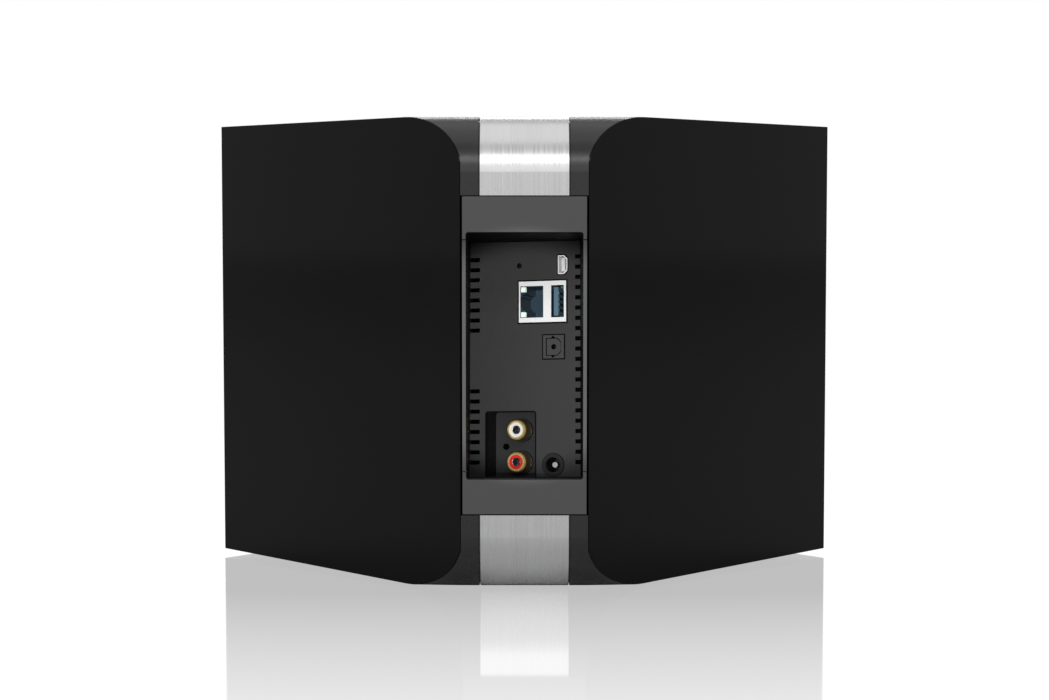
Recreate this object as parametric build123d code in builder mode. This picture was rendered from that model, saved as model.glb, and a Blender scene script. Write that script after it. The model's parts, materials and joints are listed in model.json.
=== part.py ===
"""Compact network music player: a hexagonal-plan cabinet with a banded spine and a rear jack bay.

Frame: millimetres, +Z up, origin on the table under the middle of the cabinet.
The front faces -Y and the jacks face +Y, so "left" and "right" are as seen from the front.
"""
from build123d import *
import os
from math import cos, hypot, radians, sin, tan

os.makedirs("parts", exist_ok=True)

# ---- driving dimensions: cabinet -------------------------------------------------
WIDTH = 250.0                 # over the two sharp side edges
DEPTH = 196.0                 # front of the band to the rear bezel
TOP = 177.0                   # height of the flat top above the table
SPINE_BOTTOM = 0.5            # underside of the spine above the table
TIP_BOTTOM = 2.0              # underside rises a little towards the side edges
EDGE_R = 21.0                 # rounding of the cabinet's top and bottom edges
SPINE_HALF = 23.45            # half width of the spine
SKIN = 2.0                    # side cover thickness
LIP_T = 0.4                   # thin lip of the cover that lies over the wing shell's rim
LIP_W = 1.2                   # width of that lip
WALL = 2.2                    # wing shell wall
FRAME_T = 7.0                 # spine frame thickness

# ---- driving dimensions: band and bezel ------------------------------------------
BAND_HALF = 16.6
BAND_T = 1.4
BAND_GAP = 0.35
BEZEL_HALF = 22.85
BEZEL_T = 4.0
BEZEL_LOW = 30.2
BEZEL_HIGH = 147.1
BAY_HALF = 21.55
BAY_LOW = 43.0
BAY_HIGH = 134.0
SEAM_LOW = 45.9
BAY_CORNER_R = 0.9
BEZEL_EASE = 0.25
SEAM_HIGH = 131.4
SEAM_GAP = 0.3
BEZEL_GAP = 0.35              # hairline between the bezel and the band
FLOOR_LIP = 0.7               # the liner's lower lip stands this much above the bezel's edge

# ---- driving dimensions: jack bay ------------------------------------------------
PLATE_DEPTH = 46.0            # rear bezel to the middle of the connector plate
PLATE_Z = 82.4
PLATE_YAW = 18.0              # the plate and boards stand askew in the spine
PLATE_PITCH = 7.5             # and lean back so that the jacks look slightly up
CEILING_SLOPE = 4.3
FLOOR_SLOPE = 8.0
PLATE_T = 2.0
SLOT_PITCH = 3.98
SLOT_H = 1.65

REAR = DEPTH / 2
TIP_HALF = WIDTH / 2
FLARE = TIP_HALF - SPINE_HALF
SLANT = hypot(FLARE, REAR)


def shift_for(thickness):
    """Sideways shift of a slanted side plane that moves it in by the given thickness."""
    return thickness * SLANT / REAR


def profile(bottom, inset):
    """Rounded side profile of the cabinet, drawn on the current sketch plane."""
    height = TOP - bottom - 2 * inset
    with Locations((0, (TOP + bottom) / 2)):
        RectangleRounded(DEPTH - 2 * inset, height, EDGE_R - inset)


def wing_block(inset, first, last):
    """Flared solid between two X stations, with its top, bottom and ends moved in by inset."""
    slope = (TIP_BOTTOM - SPINE_BOTTOM) / FLARE
    with BuildPart(mode=Mode.PRIVATE) as block:
        for station in (first, last):
            with BuildSketch(Plane.YZ.offset(station)):
                profile(SPINE_BOTTOM + slope * (station - SPINE_HALF), inset)
        loft(ruled=True)
    return block.part


def plan_wedge(shift, first=SPINE_HALF):
    """Triangular plan of the right wing, moved in by shift, as a tall prism."""
    half_depth = (TIP_HALF - shift - first) * REAR / FLARE
    with BuildPart(mode=Mode.PRIVATE) as wedge:
        with BuildSketch(Plane.XY.offset(-5)):
            with BuildLine():
                Polyline((first, -half_depth), (TIP_HALF - shift, 0), (first, half_depth), close=True)
            make_face()
        extrude(amount=TOP + 10)
    return wedge.part


def save(solid, name):
    """Label a finished sub-part and write its STEP file."""
    solid.label = name
    export_step(solid, f"parts/{name}.step")


# ---- planes of the jack bay ------------------------------------------------------
YAW = radians(PLATE_YAW)
PITCH = radians(PLATE_PITCH)
OUTWARD = (sin(YAW), cos(YAW) * cos(PITCH), cos(YAW) * sin(PITCH))
ACROSS = (-cos(YAW), sin(YAW) * cos(PITCH), sin(YAW) * sin(PITCH))
plate_plane = Plane(origin=(0, REAR - PLATE_DEPTH, PLATE_Z), x_dir=ACROSS, z_dir=OUTWARD)
rear_plane = Plane(origin=(0, REAR, 0), x_dir=(-1, 0, 0), z_dir=(0, 1, 0))


def plate_level(height):
    """The connector plate's plane moved outward by height (inward when negative)."""
    return plate_plane.offset(height)


# ---- spine frame -----------------------------------------------------------------
SCREW_R = 1.4
SCREW_HOLE_R = 1.5
SCREW_INSET = 4.5
FLANGE_T = 2.0
FLANGE_W = 14.0
BOSS_Y = REAR - 9.5
boss_places = [(sy * BOSS_Y, z) for sy in (-1, 1) for z in (24.3, 152.7)]
wing_screw_places = boss_places + [
    (sy * 60.0, z) for sy in (-1, 1) for z in (SPINE_BOTTOM + SCREW_INSET, TOP - SCREW_INSET)
]

with BuildPart() as spine_frame:
    with BuildSketch(Plane.YZ.offset(-SPINE_HALF)):
        profile(SPINE_BOTTOM, 0)
        with Locations((0, (TOP + SPINE_BOTTOM) / 2)):
            RectangleRounded(
                DEPTH - 2 * FRAME_T,
                TOP - SPINE_BOTTOM - 2 * FRAME_T,
                EDGE_R - FRAME_T,
                mode=Mode.SUBTRACT,
            )
    extrude(amount=2 * SPINE_HALF)
    # shallow groove that the band lies in
    with BuildSketch(Plane.YZ.offset(-BAND_HALF - BAND_GAP)):
        with Locations((0, (TOP + SPINE_BOTTOM) / 2)):
            RectangleRounded(DEPTH + 4, TOP - SPINE_BOTTOM + 4, EDGE_R + 2)
            RectangleRounded(
                DEPTH - 2 * BAND_T,
                TOP - SPINE_BOTTOM - 2 * BAND_T,
                EDGE_R - BAND_T,
                mode=Mode.SUBTRACT,
            )
    extrude(amount=2 * (BAND_HALF + BAND_GAP), mode=Mode.SUBTRACT)
    # opening for the bezel and the jack bay
    with BuildSketch(rear_plane):
        with Locations((0, (BEZEL_LOW + BEZEL_HIGH) / 2)):
            Rectangle(2 * SPINE_HALF + 2, BEZEL_HIGH - BEZEL_LOW + 2 * BEZEL_GAP)
    extrude(amount=-FRAME_T - 2, mode=Mode.SUBTRACT)
    # well for the touch strip and hole for the status light
    with BuildSketch(Plane.XY.offset(TOP)):
        with Locations((0, -40)):
            RectangleRounded(16.4, 62.4, 2.2)
    extrude(amount=-4.4, mode=Mode.SUBTRACT)
    with BuildSketch(Plane.XZ.offset(REAR)):
        with Locations((0, 132)):
            Circle(1.6)
    extrude(amount=-FRAME_T - 1, mode=Mode.SUBTRACT)
    for side in (-1, 1):
        with BuildSketch(Plane.YZ.offset(side * SPINE_HALF)):
            with Locations(*boss_places):
                Rectangle(10, 7.6)
        extrude(amount=-side * 9)
        with BuildSketch(Plane.YZ.offset(side * SPINE_HALF)):
            with Locations(*wing_screw_places):
                Circle(SCREW_HOLE_R)
        extrude(amount=-side * 6.4, mode=Mode.SUBTRACT)
save(spine_frame.part, "spine_frame")

BAND_CHAMFER = 0.3


def on_band_rim(edge):
    """True for the long outer edges of the band."""
    middle = edge @ 0.5
    flat = min(abs(abs(middle.Y) - REAR), abs(middle.Z - TOP), abs(middle.Z - SPINE_BOTTOM)) < 0.001
    curved = edge.geom_type == GeomType.CIRCLE and abs(edge.radius - EDGE_R) < 0.001
    return abs(abs(middle.X) - BAND_HALF) < 0.001 and (flat or curved)


# ---- aluminium band --------------------------------------------------------------
with BuildPart() as aluminium_band:
    with BuildSketch(Plane.YZ.offset(-BAND_HALF)):
        profile(SPINE_BOTTOM, 0)
        with Locations((0, (TOP + SPINE_BOTTOM) / 2)):
            RectangleRounded(
                DEPTH - 2 * BAND_T,
                TOP - SPINE_BOTTOM - 2 * BAND_T,
                EDGE_R - BAND_T,
                mode=Mode.SUBTRACT,
            )
    extrude(amount=2 * BAND_HALF)
    with BuildSketch(rear_plane):
        with Locations((0, (BEZEL_LOW + BEZEL_HIGH) / 2)):
            Rectangle(2 * SPINE_HALF, BEZEL_HIGH - BEZEL_LOW + 2 * BEZEL_GAP)
    extrude(amount=-FRAME_T, mode=Mode.SUBTRACT)
    with BuildSketch(Plane.XY.offset(TOP)):
        with Locations((0, -40)):
            RectangleRounded(16.4, 62.4, 2.2)
    extrude(amount=-3, mode=Mode.SUBTRACT)
    with BuildSketch(Plane.XZ.offset(REAR)):
        with Locations((0, 132)):
            Circle(1.6)
    extrude(amount=-3, mode=Mode.SUBTRACT)
    chamfer(aluminium_band.edges().filter_by(on_band_rim), BAND_CHAMFER)
save(aluminium_band.part, "aluminium_band")

# ---- touch strip, its board, and the status light --------------------------------
with BuildPart() as touch_strip:
    with BuildSketch(Plane.XY.offset(TOP - 0.05)):
        with Locations((0, -40)):
            RectangleRounded(16, 62, 2)
    extrude(amount=-2.2)
save(touch_strip.part, "touch_strip")

with BuildPart() as touch_board:
    with BuildSketch(Plane.XY.offset(TOP - 2.35)):
        with Locations((0, -40)):
            RectangleRounded(15.6, 61.6, 1.8)
    extrude(amount=-1.6)
save(touch_board.part, "touch_board")

with BuildPart() as light_pipe:
    with BuildSketch(Plane.XZ.offset(REAR - 0.05)):
        with Locations((0, 132)):
            Circle(1.5)
    extrude(amount=-7.5)
save(light_pipe.part, "light_pipe")

with BuildPart() as light_board:
    with BuildSketch(Plane.XZ.offset(REAR - 8.2)):
        with Locations((0, 132)):
            RectangleRounded(14, 22, 1)
    extrude(amount=-1.2)
    with BuildSketch(Plane.XZ.offset(REAR - 8.2)):
        with Locations((0, 132)):
            Rectangle(1.6, 1.6)
    extrude(amount=0.5)
save(light_board.part, "light_board")

# ---- wings: shell with a screw flange, and the glossy cover over it ---------------
FOOT_X = 70.0
FOOT_Y = 24.0
FOOT_R = 7.0
FOOT_T = 2.3

COVER_EASE = 0.25


def is_slanted(face):
    """True for the upright faces that slant back from the side edge."""
    normal = face.normal_at()
    return abs(normal.X) > 0.5 and abs(normal.Y) > 0.5


def cover_body(inset):
    """The cover's thick middle, inside its lip, which sits in a rebate of the wing shell."""
    with BuildPart(mode=Mode.PRIVATE) as middle:
        add(wing_block(inset, SPINE_HALF, TIP_HALF))
        add(plan_wedge(0), mode=Mode.INTERSECT)
        add(plan_wedge(shift_for(SKIN), first=SPINE_HALF - 1), mode=Mode.SUBTRACT)
    return middle.part


with BuildPart() as right_shell:
    add(wing_block(0, SPINE_HALF, TIP_HALF))
    add(wing_block(WALL, SPINE_HALF + FLANGE_T, TIP_HALF - 0.01), mode=Mode.SUBTRACT)
    with BuildSketch(Plane.YZ.offset(SPINE_HALF)):
        with Locations((0, (TOP + SPINE_BOTTOM) / 2)):
            RectangleRounded(
                DEPTH - 2 * FLANGE_W, TOP - SPINE_BOTTOM - 2 * FLANGE_W, EDGE_R - FLANGE_W
            )
    extrude(amount=FLANGE_T, mode=Mode.SUBTRACT)
    add(plan_wedge(shift_for(LIP_T)), mode=Mode.INTERSECT)
    add(cover_body(LIP_W), mode=Mode.SUBTRACT)
    with BuildSketch(Plane.YZ.offset(SPINE_HALF)):
        with Locations(*wing_screw_places):
            Circle(SCREW_HOLE_R)
    extrude(amount=FLANGE_T, mode=Mode.SUBTRACT)
    with BuildSketch(Plane.XY):
        with Locations((FOOT_X, FOOT_Y), (FOOT_X, -FOOT_Y)):
            Circle(FOOT_R + 0.1)
    extrude(amount=FOOT_T, mode=Mode.SUBTRACT)
save(right_shell.part, "right_wing_shell")
save(mirror(right_shell.part, about=Plane.YZ), "left_wing_shell")

with BuildPart() as right_cover:
    add(wing_block(0, SPINE_HALF, TIP_HALF))
    add(plan_wedge(0), mode=Mode.INTERSECT)
    add(plan_wedge(shift_for(SKIN), first=SPINE_HALF - 1), mode=Mode.SUBTRACT)
    outer_faces = right_cover.faces().filter_by(is_slanted).sort_by(Axis.X)[-2:]
    fillet(outer_faces.edges(), COVER_EASE)
    with BuildPart(mode=Mode.PRIVATE) as rim:
        add(plan_wedge(shift_for(LIP_T), first=SPINE_HALF - 1))
        add(wing_block(LIP_W + 0.05, SPINE_HALF - 2, TIP_HALF), mode=Mode.SUBTRACT)
    add(rim.part, mode=Mode.SUBTRACT)
save(right_cover.part, "right_side_cover")
save(mirror(right_cover.part, about=Plane.YZ), "left_side_cover")

with BuildPart() as wing_screws:
    for side in (-1, 1):
        head_plane = Plane.YZ.offset(side * (SPINE_HALF + FLANGE_T))
        with BuildSketch(head_plane):
            with Locations(*wing_screw_places):
                Circle(SCREW_R)
        extrude(amount=-side * 8)
        with BuildSketch(head_plane):
            with Locations(*wing_screw_places):
                Circle(2.2)
                RegularPolygon(1.0, 6, mode=Mode.SUBTRACT)
        extrude(amount=side * 1.6)
save(wing_screws.part, "wing_screws")

with BuildPart() as rubber_feet:
    with BuildSketch(Plane.XY):
        with GridLocations(2 * FOOT_X, 2 * FOOT_Y, 2, 2):
            Circle(FOOT_R)
    extrude(amount=FOOT_T)
save(rubber_feet.part, "rubber_feet")

# ---- rear bezel: two light grey blocks with short legs ----------------------------
with BuildPart() as upper_bezel:
    with BuildSketch(rear_plane):
        with Locations((0, (SEAM_HIGH + BEZEL_HIGH) / 2)):
            Rectangle(2 * BEZEL_HALF, BEZEL_HIGH - SEAM_HIGH)
        with Locations((0, (SEAM_HIGH + BAY_HIGH) / 2)):
            Rectangle(2 * BAY_HALF, BAY_HIGH - SEAM_HIGH, mode=Mode.SUBTRACT)
    extrude(amount=-BEZEL_T)
    fillet(upper_bezel.edges().filter_by(Axis.Y).sort_by(Axis.Z)[4:6], BAY_CORNER_R)
    fillet(upper_bezel.faces().sort_by(Axis.Y)[-1].edges(), BEZEL_EASE)
save(upper_bezel.part, "upper_bezel")

with BuildPart() as lower_bezel:
    with BuildSketch(rear_plane):
        with Locations((0, (SEAM_LOW + BEZEL_LOW) / 2)):
            Rectangle(2 * BEZEL_HALF, SEAM_LOW - BEZEL_LOW)
        with Locations((0, (SEAM_LOW + BAY_LOW) / 2)):
            Rectangle(2 * BAY_HALF, SEAM_LOW - BAY_LOW, mode=Mode.SUBTRACT)
    extrude(amount=-BEZEL_T)
    fillet(lower_bezel.edges().filter_by(Axis.Y).sort_by(Axis.Z)[2:4], BAY_CORNER_R)
    fillet(lower_bezel.faces().sort_by(Axis.Y)[-1].edges(), BEZEL_EASE)
save(lower_bezel.part, "lower_bezel")

# ---- screw lugs on the back of the liner, in the connector plate's own coordinates ----
LUG_PLACES = [(-16, 53.2), (16, 53.2), (-16, -51.2), (16, -51.2)]
LUG_HOLE_R = 1.05
LUG_SCREW_R = 1.0

# ---- bay liner: the tube between the bezel and the connector plate ----------------
FAR_Y = 34.0
LINER_WALL = 2.0
BEHIND_BEZEL = REAR - BEZEL_T


def ceiling_at(y):
    """Height of the bay's ceiling at a given Y."""
    return BAY_HIGH - (REAR - y) * tan(radians(CEILING_SLOPE))


def floor_at(y):
    """Height of the bay's floor at a given Y."""
    return BAY_LOW + FLOOR_LIP - (BEHIND_BEZEL - y) * tan(radians(FLOOR_SLOPE))


with BuildPart() as bay_liner:
    with BuildSketch(Plane.YZ.offset(-BEZEL_HALF)):
        with BuildLine():
            Polyline(
                (REAR, SEAM_LOW + SEAM_GAP),
                (REAR, SEAM_HIGH - SEAM_GAP),
                (BEHIND_BEZEL, SEAM_HIGH - SEAM_GAP),
                (BEHIND_BEZEL, ceiling_at(BEHIND_BEZEL) + LINER_WALL),
                (FAR_Y, ceiling_at(FAR_Y) + LINER_WALL),
                (FAR_Y, floor_at(FAR_Y) - LINER_WALL),
                (BEHIND_BEZEL, floor_at(BEHIND_BEZEL) - LINER_WALL),
                (BEHIND_BEZEL, SEAM_LOW + SEAM_GAP),
                close=True,
            )
        make_face()
    extrude(amount=2 * BEZEL_HALF)
    with BuildSketch(plate_plane):
        with Locations(*LUG_PLACES):
            Rectangle(7, 6.4)
    extrude(amount=6)
    with BuildSketch(Plane.YZ.offset(-BAY_HALF)):
        with BuildLine():
            Polyline(
                (REAR + 1, ceiling_at(REAR + 1)),
                (FAR_Y - 1, ceiling_at(FAR_Y - 1)),
                (FAR_Y - 1, floor_at(FAR_Y - 1)),
                (REAR + 1, floor_at(REAR + 1)),
                close=True,
            )
        make_face()
    extrude(amount=2 * BAY_HALF, mode=Mode.SUBTRACT)
    with BuildSketch(plate_plane):
        Rectangle(120, 160)
    extrude(amount=-60, mode=Mode.SUBTRACT)
    with BuildSketch(plate_plane):
        with Locations(*LUG_PLACES):
            Circle(LUG_HOLE_R)
    extrude(amount=5, mode=Mode.SUBTRACT)
save(bay_liner.part, "bay_liner")

# ---- places of the jacks on the connector plate (u to the right, v up, seen from behind) ----
PLATE_LEFT = -25.6
PLATE_RIGHT = 25.0
PLATE_BASE = -55.0
PLATE_TOP = 56.5
RIGHT_SLOT_U = 21.95
LEFT_SLOT_U = -20.45
TOP_SLOT_V = 41.6
SHIELD_U = 7.4
SHIELD_V = 24.4
SHIELD_W = 19.2
SHIELD_H = 16.0
NET_U = 3.05
USB_U = 13.54
PORT_U = 15.6
PORT_V = 38.6
RESET_U = -2.1
RESET_V = 38.7
OPTICAL_U = 11.87
OPTICAL_V = 6.7
OPTICAL_W = 8.4
OPTICAL_H = 9.0
JACK_GAP = 0.35               # dark gap round the optical socket and the service port
SHIELD_GAP = 0.5
RCA_U = -5.4
RCA_V = (-25.2, -37.8)
POCKET_LEFT = -16.2
POCKET_RIGHT = 4.8
POCKET_TOP = -18.0
POCKET_BASE = -46.0
POCKET_DEPTH = 11.5
DC_U = 11.6
DC_V = -39.0
RCA_SCREW_U = -11.9
RCA_SCREW_V = -31.6

pocket_w = POCKET_RIGHT - POCKET_LEFT
pocket_h = POCKET_TOP - POCKET_BASE
pocket_mid = (POCKET_LEFT + POCKET_RIGHT) / 2
pocket_v = (POCKET_TOP + POCKET_BASE) / 2

PORT_W = 3.8
PORT_H = 7.3
PORT_CUT = 1.3


def port_outline(grow):
    """Service port outline: flat on the left, two corners cut away on the right."""
    half_w = PORT_W / 2 + grow
    half_h = PORT_H / 2 + grow
    with BuildSketch(mode=Mode.PRIVATE) as outline:
        with BuildLine():
            Polyline(
                (-half_w, -half_h),
                (half_w - PORT_CUT, -half_h),
                (half_w, -half_h + PORT_CUT),
                (half_w, half_h - PORT_CUT),
                (half_w - PORT_CUT, half_h),
                (-half_w, half_h),
                close=True,
            )
        make_face()
    return outline.sketch


with BuildPart() as connector_plate:
    with BuildSketch(plate_plane):
        with Locations(((PLATE_LEFT + PLATE_RIGHT) / 2, (PLATE_TOP + PLATE_BASE) / 2)):
            Rectangle(PLATE_RIGHT - PLATE_LEFT, PLATE_TOP - PLATE_BASE)
        for row in range(21):
            with Locations((RIGHT_SLOT_U, TOP_SLOT_V - row * SLOT_PITCH)):
                Rectangle(2.7, SLOT_H, mode=Mode.SUBTRACT)
        for row in list(range(8)) + list(range(13, 21)):
            with Locations((LEFT_SLOT_U, TOP_SLOT_V - row * SLOT_PITCH)):
                Rectangle(4.1, SLOT_H, mode=Mode.SUBTRACT)
        with Locations((RESET_U, RESET_V)):
            Circle(1.05, mode=Mode.SUBTRACT)
        with Locations((PORT_U, PORT_V)):
            add(port_outline(JACK_GAP), mode=Mode.SUBTRACT)
        with Locations((SHIELD_U, SHIELD_V)):
            Rectangle(SHIELD_W + 2 * SHIELD_GAP, SHIELD_H + 2 * SHIELD_GAP, mode=Mode.SUBTRACT)
        with Locations((OPTICAL_U, OPTICAL_V)):
            Rectangle(OPTICAL_W + 2 * JACK_GAP, OPTICAL_H + 2 * JACK_GAP, mode=Mode.SUBTRACT)
        with Locations((pocket_mid, pocket_v)):
            RectangleRounded(pocket_w, pocket_h, 1.2, mode=Mode.SUBTRACT)
        with Locations((DC_U, DC_V)):
            Circle(4.6, mode=Mode.SUBTRACT)
    extrude(amount=-PLATE_T)
    with BuildSketch(plate_plane):
        with Locations(*LUG_PLACES):
            Circle(LUG_HOLE_R)
    extrude(amount=-PLATE_T, mode=Mode.SUBTRACT)
save(connector_plate.part, "connector_plate")

with BuildPart() as plate_screws:
    with BuildSketch(plate_plane.offset(-PLATE_T)):
        with Locations(*LUG_PLACES):
            Circle(LUG_SCREW_R)
    extrude(amount=PLATE_T + 4.5)
    with BuildSketch(plate_plane.offset(-PLATE_T)):
        with Locations(*LUG_PLACES):
            Circle(1.9)
    extrude(amount=-1.2)
save(plate_screws.part, "plate_screws")

# ---- pocket that the phono jacks stand in -----------------------------------------
POCKET_WALL = 1.2
POCKET_FLOOR = -PLATE_T - POCKET_DEPTH
with BuildPart() as jack_pocket:
    with BuildSketch(plate_level(-PLATE_T)):
        with Locations((pocket_mid, pocket_v)):
            RectangleRounded(pocket_w + 2 * POCKET_WALL, pocket_h + 2 * POCKET_WALL, 2.4)
    extrude(amount=-POCKET_DEPTH - POCKET_WALL)
    with BuildSketch(plate_level(-PLATE_T)):
        with Locations((pocket_mid, pocket_v)):
            RectangleRounded(pocket_w, pocket_h, 1.2)
    extrude(amount=-POCKET_DEPTH, mode=Mode.SUBTRACT)
    with BuildSketch(plate_level(POCKET_FLOOR)):
        for v in RCA_V:
            with Locations((RCA_U, v)):
                Circle(4.75)
        with Locations((RCA_SCREW_U, RCA_SCREW_V)):
            Circle(1.05)
    extrude(amount=-POCKET_WALL, mode=Mode.SUBTRACT)
save(jack_pocket.part, "jack_pocket")

# ---- circuit boards stand edge-on to the plate -------------------------------------
BOARD_T = 1.6
BOARD_START = -4.0
MAIN_U = 17.9                 # face of the main board that carries the jacks
MAIN_LENGTH = 104.0
SIDE_U = -14.2                # face of the side board
SIDE_END = -60.0
SIDE_STEP_V = -14.0


def board(u_low, length, v_low, v_high, start=BOARD_START, thickness=BOARD_T):
    """A board standing edge-on behind the plate, from u_low, running inward by length."""
    with BuildPart(mode=Mode.PRIVATE) as sheet:
        with BuildSketch(plate_level(start)):
            with Locations((u_low + thickness / 2, (v_low + v_high) / 2)):
                Rectangle(thickness, v_high - v_low)
        extrude(amount=-length)
    return sheet.part


def block(u, v, w, h, front, depth):
    """A box centred at (u, v), w wide and h high, from level front going inward by depth."""
    with BuildPart(mode=Mode.PRIVATE) as solid:
        with BuildSketch(plate_level(front)):
            with Locations((u, v)):
                Rectangle(w, h)
        extrude(amount=-depth)
    return solid.part


with BuildPart() as main_board:
    add(board(MAIN_U, MAIN_LENGTH, -44, 46, start=-3.2))
save(main_board.part, "main_board")

with BuildPart() as side_board:
    for v_low, v_high, start in ((SIDE_STEP_V, 44, -4.0), (-45, SIDE_STEP_V, -15.5)):
        add(board(SIDE_U - BOARD_T, start - SIDE_END, v_low, v_high, start=start))
save(side_board.part, "side_board")

with BuildPart() as processor:
    add(block(MAIN_U - 1.0, 4, 1.9, 27, -50, 27))
save(processor.part, "processor")

with BuildPart() as memory_chips:
    for v in (-15, 24):
        add(block(MAIN_U - 0.7, v, 1.3, 9, -54, 13))
save(memory_chips.part, "memory_chips")

with BuildPart() as wireless_module:
    add(block(MAIN_U - 1.6, -30, 3.1, 20, -60, 30))
save(wireless_module.part, "wireless_module")

with BuildPart() as capacitors:
    for level in (-82, -92):
        with BuildSketch(Plane(origin=plate_level(level).from_local_coords((MAIN_U - 0.1, 34, 0)),
                               x_dir=OUTWARD, z_dir=ACROSS)):
            Circle(3.1)
        extrude(amount=-9)
save(capacitors.part, "capacitors")

with BuildPart() as inductors:
    for level in (-84, -97):
        add(block(MAIN_U - 2.1, 14, 4.1, 9, level, 9))
save(inductors.part, "inductors")

with BuildPart() as heat_spreader:
    add(board(MAIN_U + BOARD_T + 4.5, 84, -36, 38, start=-14, thickness=2.0))
save(heat_spreader.part, "heat_spreader")

with BuildPart() as thermal_pad:
    add(block(MAIN_U + BOARD_T + 2.25, 4, 4.5, 27, -50, 27))
save(thermal_pad.part, "thermal_pad")

with BuildPart() as audio_converter:
    add(block(SIDE_U + 0.8, -4, 1.5, 8, -30, 8))
save(audio_converter.part, "audio_converter")

with BuildPart() as ribbon_cable:
    with BuildSketch(plate_level(-46)):
        with Locations(((SIDE_U + MAIN_U) / 2, 40)):
            Rectangle(MAIN_U - SIDE_U - 0.2, 0.6)
    extrude(amount=-10)
save(ribbon_cable.part, "ribbon_cable")

# ---- network and host port in one folded shield ------------------------------------
SHIELD_DEPTH = 21.0
SHIELD_T = 0.4
NET_W = 9.4
NET_H = 12.4
USB_W = 5.2
USB_H = 12.5

with BuildPart() as network_usb_shield:
    with BuildSketch(plate_level(0.3)):
        with Locations((SHIELD_U, SHIELD_V)):
            Rectangle(SHIELD_W, SHIELD_H)
        with Locations((NET_U, SHIELD_V)):
            Rectangle(NET_W, NET_H, mode=Mode.SUBTRACT)
        with Locations((USB_U, SHIELD_V)):
            Rectangle(USB_W, USB_H, mode=Mode.SUBTRACT)
    extrude(amount=-SHIELD_T)
    with BuildSketch(plate_level(0.3 - SHIELD_T)):
        with Locations((SHIELD_U, SHIELD_V)):
            Rectangle(SHIELD_W, SHIELD_H)
            Rectangle(SHIELD_W - 2 * SHIELD_T, SHIELD_H - 2 * SHIELD_T, mode=Mode.SUBTRACT)
    extrude(amount=-SHIELD_DEPTH)
save(network_usb_shield.part, "network_usb_shield")

insert_front = 0.3 - SHIELD_T
net_insert_w = 11.2
with BuildPart() as network_socket:
    with BuildSketch(plate_level(insert_front)):
        with Locations((SHIELD_U - SHIELD_W / 2 + SHIELD_T + net_insert_w / 2, SHIELD_V)):
            Rectangle(net_insert_w, SHIELD_H - 2 * SHIELD_T)
        with Locations((NET_U + 1.0, SHIELD_V)):
            Rectangle(NET_W - 2.0, 11.8, mode=Mode.SUBTRACT)
        with Locations((NET_U - 2.9, SHIELD_V)):
            Rectangle(2.2, 6.2, mode=Mode.SUBTRACT)
        with Locations((NET_U - 4.2, SHIELD_V)):
            Rectangle(1.2, 4.0, mode=Mode.SUBTRACT)
    extrude(amount=-SHIELD_DEPTH + 1)
    with BuildSketch(plate_level(insert_front - 13.5)):
        with Locations((SHIELD_U - SHIELD_W / 2 + SHIELD_T + net_insert_w / 2, SHIELD_V)):
            Rectangle(net_insert_w, SHIELD_H - 2 * SHIELD_T)
    extrude(amount=-SHIELD_DEPTH + 14.5)
    for v in (SHIELD_V - 4.9, SHIELD_V + 4.9):
        add(block(NET_U - 3.6, v, 1.8, 2.0, insert_front, 1.7), mode=Mode.SUBTRACT)
save(network_socket.part, "network_socket")

with BuildPart() as network_lights:
    for v in (SHIELD_V - 4.9, SHIELD_V + 4.9):
        add(block(NET_U - 3.6, v, 1.7, 1.9, insert_front, 1.6))
save(network_lights.part, "network_lights")

with BuildPart() as network_contacts:
    with BuildSketch(plate_level(insert_front - 3.0)):
        with GridLocations(0, 1.02, 1, 8):
            with Locations((NET_U + 4.0, SHIELD_V)):
                Rectangle(0.35, 0.45)
    extrude(amount=-10.4)
save(network_contacts.part, "network_contacts")

with BuildPart() as usb_socket:
    with BuildSketch(plate_level(insert_front - 14.0)):
        with Locations((USB_U, SHIELD_V)):
            Rectangle(6.0, 14.6)
    extrude(amount=-4.0)
    with BuildSketch(plate_level(insert_front - 0.8)):
        with Locations((USB_U - 0.9, SHIELD_V)):
            Rectangle(1.85, 11.1)
    extrude(amount=-13.4)
save(usb_socket.part, "usb_socket")

with BuildPart() as usb_contacts:
    with BuildSketch(plate_level(insert_front - 1.6)):
        with Locations((USB_U + 0.125, SHIELD_V)):
            with GridLocations(0, 2.2, 1, 4):
                Rectangle(0.2, 1.0)
    extrude(amount=-11)
save(usb_contacts.part, "usb_contacts")

# ---- upright service port ----------------------------------------------------------
port_spot = plate_plane.from_local_coords((PORT_U, PORT_V, 0.2))
port_plane = Plane(origin=port_spot, x_dir=ACROSS, z_dir=OUTWARD)
with BuildPart() as service_port_shell:
    with BuildSketch(port_plane):
        add(port_outline(0))
    extrude(amount=-9)
    with BuildSketch(port_plane):
        add(port_outline(-0.35))
    extrude(amount=-7.5, mode=Mode.SUBTRACT)
save(service_port_shell.part, "service_port_shell")

with BuildPart() as service_port_tongue:
    with BuildSketch(port_plane.offset(-0.5)):
        with Locations((0.1, 0)):
            Rectangle(1.3, 5.2)
    extrude(amount=-6.6)
save(service_port_tongue.part, "service_port_tongue")

# ---- optical output ----------------------------------------------------------------
optical_plane = Plane(
    origin=plate_plane.from_local_coords((OPTICAL_U, OPTICAL_V, 0.25)), x_dir=ACROSS, z_dir=OUTWARD
)
KEY_W = 6.2
KEY_H = 7.0
KEY_CUT = 1.5
DUST_GAP = 0.3


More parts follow.
